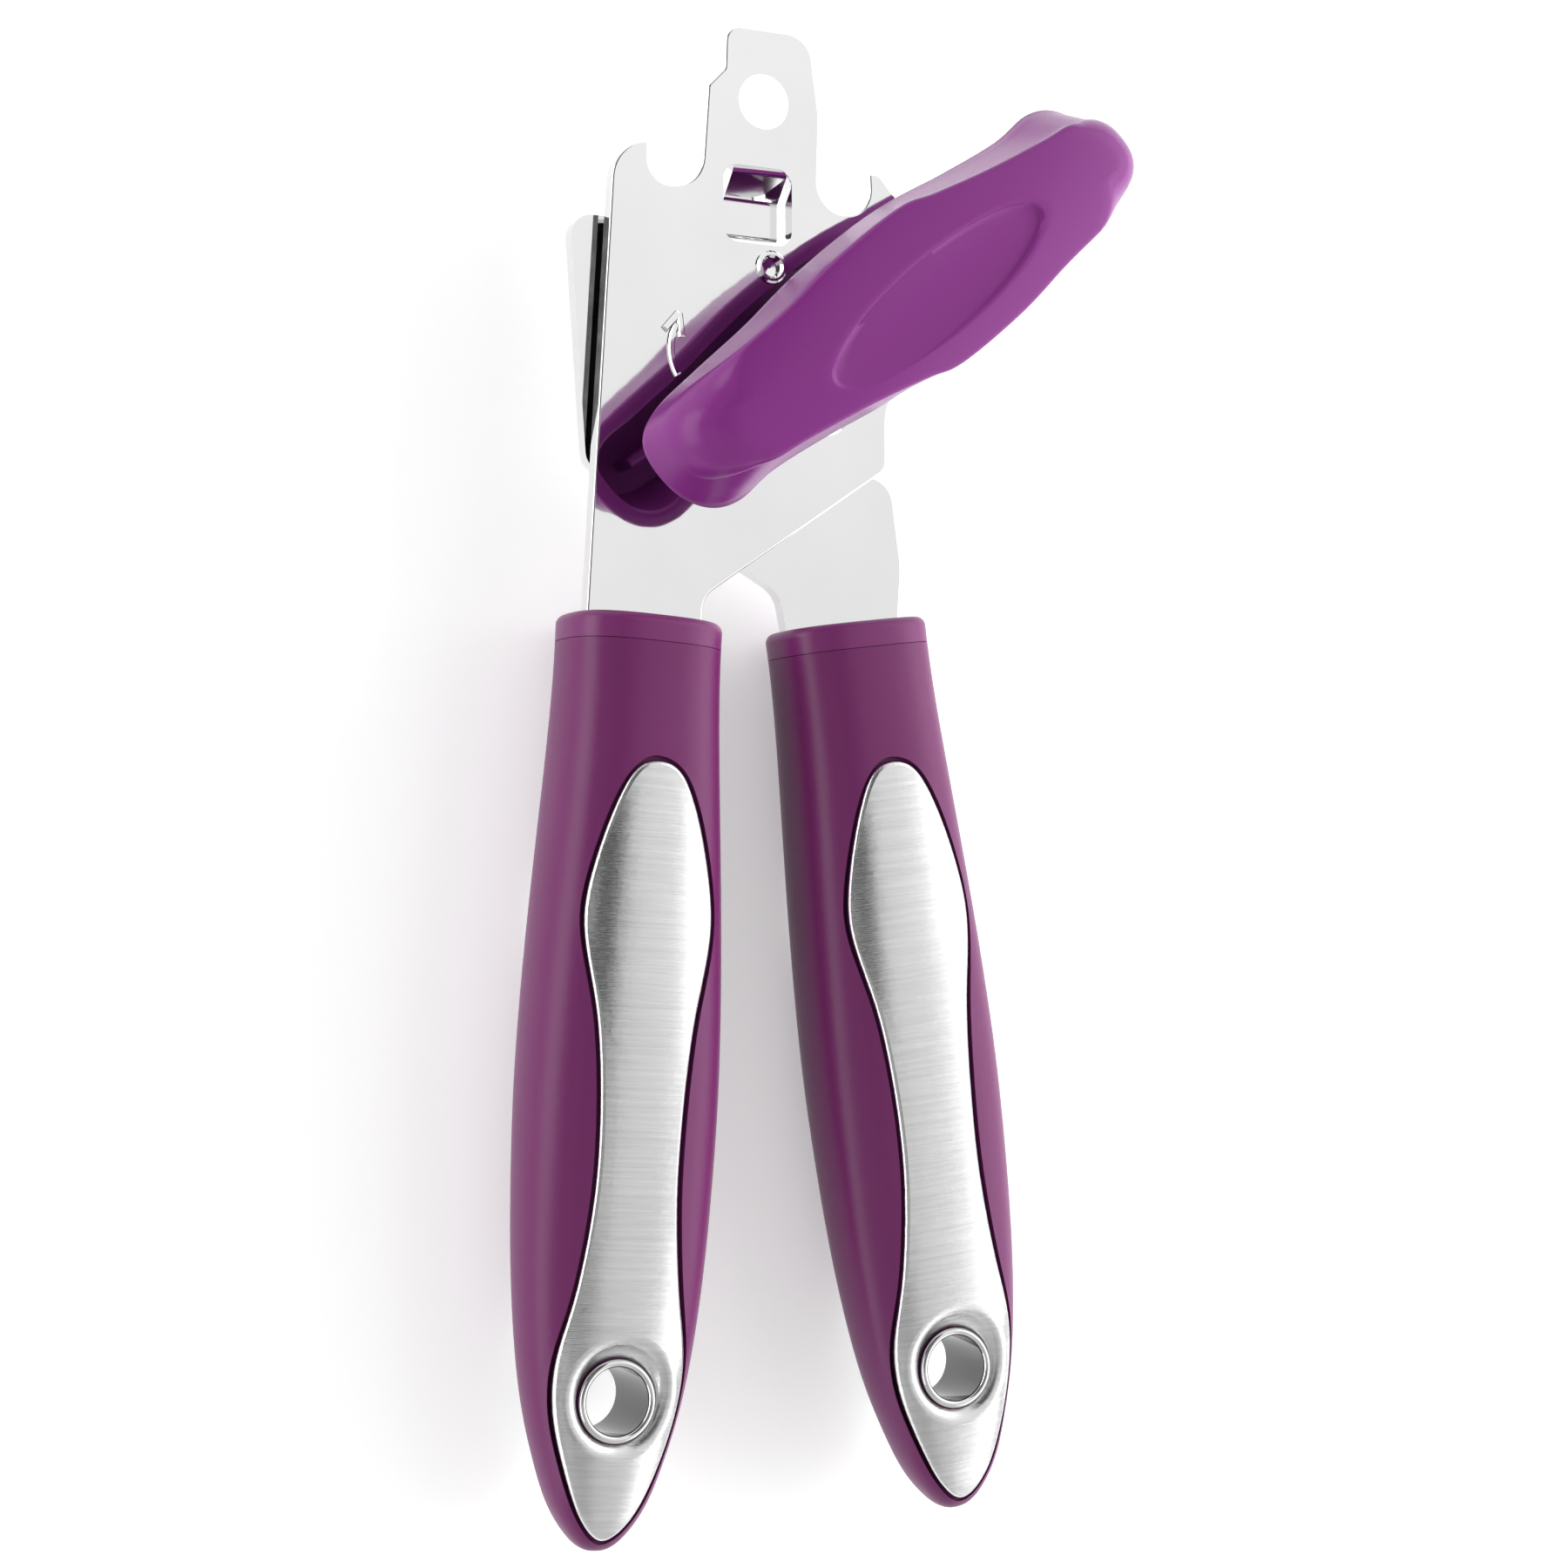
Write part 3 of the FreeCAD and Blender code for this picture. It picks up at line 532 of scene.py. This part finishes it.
def purple_plastic(name, colour, deep, rough, shine):
    material, tree, shader = new_material(name, Specular_IOR_Level=shine)
    haze = use_group(tree, HAZE, Scale=30.0, Contrast=1.5)
    tree.links.new(mix_colours(tree, haze.outputs["Haze"], colour, deep),
                   shader.inputs["Base Color"])
    tree.links.new(spread(tree, haze.outputs["Haze"], rough - SHINIER, rough + DULLER),
                   shader.inputs["Roughness"])
    grain = use_group(tree, GRAIN, Scale=4000.0)
    bump = add(tree, "Bump", None, Height=grain.outputs["Height"], Strength=0.12,
               Distance=0.00006)
    tree.links.new(bump.outputs[0], shader.inputs["Normal"])
    return material


GRIP_PLASTIC = purple_plastic("grip_plastic", (0.155, 0.020, 0.115), (0.142, 0.018, 0.105),
                              0.35, 0.36)
KNOB_PLASTIC = purple_plastic("knob_plastic", (0.228, 0.028, 0.225), (0.218, 0.026, 0.214),
                              0.25, 0.30)
COLLAR_PLASTIC = purple_plastic("collar_plastic", (0.175, 0.023, 0.132), (0.165, 0.021, 0.124),
                                0.33, 0.42)
print("materials:", GRIP_PLASTIC.name, KNOB_PLASTIC.name, COLLAR_PLASTIC.name)

# %% [markdown]
# ## The knob
#
# The knob is a hollow plastic bar with two wings on a boss. Its sides stand upright where nothing
# touches them, but flare out to a wide rim where a thumb pushes, and its ends roll over softly
# while its long edges stay crisp. One could carve that out of a block with modifiers. Rings are
# surer: every ring has the same number of points, and each follows the outline at one height, so
# quads join them into one smooth skin, and the rounding of the edge can grow along the way.


# %% Outline of the knob
# One half of the outline as (along, across) in millimetres at three heights above the rim; the
# other half is the same turned half way round.
KNOB_LEVELS = (
    (0.0, ((1, 11.0), (9, 10.8), (18, 9.7), (28, 8.9), (34.6, 9.4), (38.9, 7.8), (41.7, 4.0),
           (42.6, -1.3), (41.4, -4.8), (37.5, -6.8), (30, -7.8), (20, -8.8), (10, -10.3))),
    (10.0, ((2, 10.8), (8, 9.5), (17, 7.9), (27, 6.6), (32.7, 6.2), (36.6, 4.7), (40.0, 1.9),
            (41.1, -2.0), (39.9, -5.0), (36.7, -6.9), (30, -7.8), (20, -8.8), (10, -10.3))),
    (16.0, ((2, 10.8), (8, 9.6), (17, 8.0), (27, 6.8), (32.4, 6.1), (35.6, 4.6), (38.4, 1.6),
            (39.8, -2.0), (38.7, -4.8), (35.8, -6.7), (30, -7.7), (20, -8.7), (10, -10.2))),
)
PER_POINT = 7             # columns of the mesh for each point of the outline


def smooth_ring(half):
    """Points along a smooth closed curve through a half outline and its other half."""
    corners = [Vector(p) for p in half] + [-Vector(p) for p in half]
    count = len(corners)
    ring = []
    for i in range(count):
        a, b, c, d = (corners[(i + k) % count] for k in (-1, 0, 1, 2))
        for step in range(PER_POINT):
            t = step / PER_POINT
            ring.append(0.5 * (2 * b + (c - a) * t + (2 * a - 5 * b + 4 * c - d) * t ** 2
                               + (3 * b - 3 * c + d - a) * t ** 3))
    return ring


LEVEL_RINGS = [(height, smooth_ring(half)) for height, half in KNOB_LEVELS]
COLUMNS = len(LEVEL_RINGS[0][1])


def outline_at(column, height):
    """The outline's point in one column at any height, straight between the levels."""
    for (low, below), (high, above) in zip(LEVEL_RINGS, LEVEL_RINGS[1:]):
        if height <= high:
            return below[column].lerp(above[column], (height - low) / (high - low))
    return LEVEL_RINGS[-1][1][column]


print("columns round the knob:", COLUMNS)

# %% [markdown]
# The top is part of a large ellipsoid. Where it meets the sides, each column of points turns from
# upright to level in a quarter circle, whose radius is small along the wings and large at their
# ends. Points move inwards towards a line along the middle of the knob, so that even a large
# rounding at a narrow end never folds over itself.

# %% Crown, edge and recess
CROWN = 14.8              # height of the dome above the rim
SPREAD = (76.0, 26.9, 20.0)     # half axes of the ellipsoid that domes it
SPINE = 31.0              # half length of the middle line
CRISP, SOFT = 0.55, 6.2   # radius of the edge along the wings and at their ends
THUMB_START, BACK_START = 31, 27  # where along each side of a wing that radius starts to grow
GROWTH = 10               # and the length over which it does
WALL = 2.2
ROOF = 9.8                # height of the hollow
INSIDE = (ROOF, 5.0, 0.5)       # heights of the rings in the hollow
RIM = ((WALL, 0.15), (WALL - 0.5, 0.0), (0.5, 0.0), (0.12, 0.1), (0.0, 0.45))
# the rounded rim, as distance in from the outline and height
SHOULDER = KNOB_LEVELS[1][0]    # above this height the sides stand nearly straight
FLANK = 12                # a height where the sides are straight
BELOW = (0.2, 0.4, 0.6, 0.8, 0.97)       # rings below the shoulder, as shares of the way
ABOVE = (0.05, 0.5, 1.0)                 # and from the shoulder to the edge
ROUND_STEPS = 8                          # rings in the rounding of the edge
OVER = (0.12, 0.3, 0.5, 0.7, 0.88, 1.0)  # and from there to the recess
OVAL_MIDDLE = Vector((-0.3, -1.45))
OVAL_HALF = (20.0, 5.2)
OVAL_TURN = math.radians(3.0)
OVAL_LIP = 0.16           # rounding around the recess
OVAL_DEEP = 1.3
OVAL_RINGS = (0.97, 0.85, 0.65, 0.45, 0.25, 0.08)  # rings on its floor, as scales of the oval
LIP_AT, LIP_DROP = 0.3, 0.08    # one ring on the rounding: share of it, and depth
LIP_SINK = 0.06           # the recess's wall hangs this far below its middle height
BOWL = (116, 17.2, 10)    # half axes of the ellipsoid that bowls the floor
KNOB_HALF = (42.0, 10.0)  # rough half sizes of the knob, to pair its outline with the oval


def crown(point):
    """Height of the dome over a point of the plan."""
    out = (point.x / SPREAD[0]) ** 2 + (point.y / SPREAD[1]) ** 2
    return CROWN - SPREAD[2] * (1 - math.sqrt(1 - out))


def inward(point):
    """Direction from the outline to the middle line."""
    foot = Vector((max(-SPINE, min(SPINE, point.x)), 0))
    return (foot - point).normalized()


def edge_radius(point):
    """Radius of the top edge, which grows smoothly towards the end of a wing."""
    thumb_side = point.x * point.y > 0
    start = THUMB_START if thumb_side else BACK_START
    share = max(0.0, min(1.0, (abs(point.x) - start) / GROWTH))
    return CRISP + (SOFT - CRISP) * share * share * (3 - 2 * share)


def oval(point, scale):
    """The point of the recess's oval that faces a point of the outline."""
    angle = math.atan2(point.y / KNOB_HALF[1], point.x / KNOB_HALF[0])
    x = OVAL_HALF[0] * math.cos(angle) * scale
    y = OVAL_HALF[1] * math.sin(angle) * scale
    return OVAL_MIDDLE + Vector((x * math.cos(OVAL_TURN) - y * math.sin(OVAL_TURN),
                                 x * math.sin(OVAL_TURN) + y * math.cos(OVAL_TURN)))


def bowl(point):
    """Height of the recess's bowled floor."""
    off = point - OVAL_MIDDLE
    out = (off.x / BOWL[0]) ** 2 + (off.y / BOWL[1]) ** 2
    return CROWN - OVAL_DEEP + BOWL[2] * (1 - math.sqrt(1 - out))


def knob_column(column):
    """One column of the skin, from inside the hollow, round the rim and over the top."""
    points = []
    for height in INSIDE:
        side = outline_at(column, height)
        points.append((side + inward(side) * WALL, height))
    foot = outline_at(column, 0)
    for depth, height in RIM:
        points.append((foot + inward(foot) * depth, height))
    flank = outline_at(column, FLANK)
    radius = edge_radius(flank)
    top = crown(flank) - radius
    shoulder = min(top, SHOULDER)
    for share in BELOW:
        points.append((outline_at(column, shoulder * share), shoulder * share))
    for share in ABOVE:
        height = shoulder + (top - shoulder) * share
        points.append((outline_at(column, height), height))
    start = outline_at(column, top)
    step_in = inward(start)
    for step in range(1, ROUND_STEPS + 1):
        angle = math.radians(90) * step / ROUND_STEPS
        place = start + step_in * radius * (1 - math.cos(angle))
        points.append((place, crown(place) - radius * (1 - math.sin(angle))))
    last = points[-1][0]
    rim = oval(foot, 1 + OVAL_LIP / OVAL_HALF[1])
    for share in OVER:
        place = last.lerp(rim, share)
        points.append((place, crown(place)))
    edge = oval(foot, 1.0)
    lip = oval(foot, 1 + LIP_AT * OVAL_LIP / OVAL_HALF[1])
    points.append((lip, crown(edge) - LIP_DROP))
    points.append((edge, (crown(edge) + bowl(edge)) / 2 - LIP_SINK))
    for scale in OVAL_RINGS:
        place = oval(foot, scale)
        points.append((place, bowl(place)))
    return points


print("points in a column:", len(knob_column(0)))

# %% [markdown]
# Under its roof such a moulding has a boss that grips the shaft, and ribs that stiffen the wings.
# The mesh has a plain round boss and one sloping rib in each wing. They are closed shells of
# their own, pushed a little into the roof, as a moulding's features run into each other.


# %% Knob mesh
KNOB_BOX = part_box("knob")
SHAFT_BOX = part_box("drive_shaft")
BOSS_R = 5.6
BOSS_DROP = 1.0           # the boss reaches this far below the rim
BOSS_SIDES = 48
BOSS_ROUND = 0.4
BORE_R = 3.6
BORE_ROUND = 0.3
RIB_HALF = 0.8
RIB_ROUND = 0.3
RIB_LINE = ((BOSS_R - 0.6, 2.0), (20.0, 2.6), (33.5, 5.0))
# a rib's lower edge, as distance from the shaft and height above the rim
ROOF_BITE = 0.5
KNOB_TURN = math.radians(37.0)
SHARPEST = math.radians(50)     # steeper corners than this are shaded as edges


def knob_place():
    """From the knob's own axes in millimetres to its place over the shaft."""
    middle = (SHAFT_BOX[0] + SHAFT_BOX[1]) / 2
    rim = KNOB_BOX[0].z + BOSS_DROP * MM
    return (Matrix.Translation((middle.x, middle.y, rim)) @ Matrix.Rotation(KNOB_TURN, 4, "Z")
            @ Matrix.Scale(MM, 4))


def closed_rings(rings, loop=False):
    """Points and quads that join closed rings in order, with flat ends or back to the start."""
    count = len(rings[0])
    points = [p for ring in rings for p in ring]
    faces = []
    spans = len(rings) if loop else len(rings) - 1
    for r in range(spans):
        below, above = r * count, (r + 1) % len(rings) * count
        for c in range(count):
            d = (c + 1) % count
            faces.append((below + c, below + d, above + d, above + c))
    if not loop:
        faces.append(tuple(reversed(range(count))))
        faces.append(tuple(range(len(points) - count, len(points))))
    return points, faces


def boss_shell():
    """A tube whose lower end is rounded inside and out."""
    high = ROOF + ROOF_BITE
    profile = [(BORE_R, high), (BORE_R, -BOSS_DROP + BORE_ROUND),
               (BORE_R + BORE_ROUND, -BOSS_DROP), (BOSS_R - BOSS_ROUND, -BOSS_DROP),
               (BOSS_R, -BOSS_DROP + BOSS_ROUND), (BOSS_R, high)]
    turns = [2 * math.pi * i / BOSS_SIDES for i in range(BOSS_SIDES)]
    rings = [[(radius * math.cos(a), radius * math.sin(a), height) for a in turns]
             for radius, height in profile]
    return closed_rings(rings, loop=True)


def rib_shell(side):
    """A rib whose lower edge slopes up from the boss to the end of the wing."""
    high = ROOF + ROOF_BITE
    rings = []
    for x, low in RIB_LINE:
        rings.append([(x * side, y * side, z) for y, z in (
            (-RIB_HALF, low + RIB_ROUND), (-RIB_HALF + RIB_ROUND, low),
            (RIB_HALF - RIB_ROUND, low), (RIB_HALF, low + RIB_ROUND),
            (RIB_HALF, high), (-RIB_HALF, high))])
    return closed_rings(rings)


def knob_mesh():
    columns = [knob_column(c) for c in range(COLUMNS)]
    rings = [[(p.x, p.y, h) for p, h in (column[r] for column in columns)]
             for r in range(len(columns[0]))]
    shells = [closed_rings(rings), boss_shell(), rib_shell(1), rib_shell(-1)]
    points, faces = [], []
    for shell_points, shell_faces in shells:
        first = len(points)
        points += shell_points
        faces += [tuple(first + i for i in face) for face in shell_faces]
    mesh = bpy.data.meshes.new("knob_moulding")
    mesh.from_pydata(points, [], faces)
    mesh.transform(knob_place())
    shape = bmesh.new()
    shape.from_mesh(mesh)
    bmesh.ops.recalc_face_normals(shape, faces=shape.faces)
    shape.to_mesh(mesh)
    shape.free()
    mesh.shade_smooth()
    mesh.set_sharp_from_angle(angle=SHARPEST)
    thing = bpy.data.objects.new("knob_moulding", mesh)
    bpy.context.scene.collection.objects.link(thing)
    mesh.materials.append(KNOB_PLASTIC)
    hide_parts("knob")
    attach(thing, "drive")
    return thing


knob = knob_mesh()
print("knob faces:", len(knob.data.polygons))

# %% [markdown]
# ## Paper and card
#
# The paper is matt white and the card a matt dark grey. Neither needs more than a little uneven
# tone. The paper also glows a little, but only where the camera or the steel looks at it, which
# makes it a cleaner white and lights nothing. The card glows more and more towards the handles'
# end, so that the dark facet in the steel grows paler there.


# %% Studio materials
PAPER_GLOW = 0.36
CARD_GLOW = 0.42          # at the handles' end
CARD_FADE = (-0.30, -0.06)      # metres along Y between which the glow dies away


def studio_matt(name, tone):
    material, tree, shader = new_material(name, Roughness=0.9)
    shader.inputs["Specular IOR Level"].default_value = 0.1
    haze = use_group(tree, HAZE, Scale=3.0, Contrast=0.5)
    colour = mix_colours(tree, haze.outputs["Haze"], [tone] * 3, [tone * 0.99] * 3)
    tree.links.new(colour, shader.inputs["Base Color"])
    return material


def lift_white(material, glow):
    """Let the paper show a little whiter to the camera and in steel, not to matt surfaces."""
    tree = material.node_tree
    shader = tree.nodes["Principled BSDF"]
    paths = add(tree, "LightPath")
    seen = add(tree, "Math", {"operation": "MAXIMUM"}, _0=paths.outputs["Is Camera Ray"],
               _1=paths.outputs["Is Glossy Ray"])
    seen = add(tree, "Math", {"operation": "MAXIMUM"}, _0=seen.outputs[0],
               _1=paths.outputs["Is Transmission Ray"])
    tree.links.new(mix_colours(tree, seen.outputs[0], (0, 0, 0), (1, 1, 1)),
                   shader.inputs["Emission Color"])
    shader.inputs["Emission Strength"].default_value = glow
    return material


def fade_to_grey(material):
    """Let the flag glow paler towards the handles' end, which paints a paler reflection into the
    steel there.
    """
    tree = material.node_tree
    shader = tree.nodes["Principled BSDF"]
    place = add(tree, "TexCoord")
    parts = add(tree, "SeparateXYZ", None, Vector=place.outputs["Object"])
    pale = add(tree, "MapRange", None, Value=parts.outputs["Y"], From_Min=CARD_FADE[0],
               From_Max=CARD_FADE[1], To_Min=1.0, To_Max=0.0)
    tree.links.new(mix_colours(tree, pale.outputs["Result"], [0] * 3, [CARD_GLOW] * 3),
                   shader.inputs["Emission Color"])
    shader.inputs["Emission Strength"].default_value = 1.0
    return material


paper.data.materials.append(lift_white(studio_matt("white_paper", 0.93), PAPER_GLOW))
flag_black = fade_to_grey(studio_matt("flag_black", 0.05))
for flag in flags:
    flag.data.materials.append(flag_black)
print("studio dressed")

# %% [markdown]
# ## Giving each solid its finish
#
# The record that came with the solids says which finish each one has. We look it up, and pick
# the special cases by name: the eyelets, the collars, and the inlays of each handle. The knob's
# solid gets one too, but the mesh above shows in its place.


# %% Assign the finishes
def finish_for(node, slot):
    if slot == "brushed_steel":
        return BRUSHED[node.split("_")[0]]
    if slot == "polished_steel":
        return EYELET_STEEL if "eyelet" in node else PLATE_STEEL
    if slot == "purple_plastic":
        return COLLAR_PLASTIC if "collar" in node else GRIP_PLASTIC
    return {"hardened_steel": HARD_STEEL, "plain_steel": PLAIN_STEEL}[slot]


for part in frame["record"]["subparts"]:
    thing = frame["nodes"][part["node"]]
    for own_slot in thing.material_slots:
        own_slot.material = finish_for(part["node"], part["material_slot"])
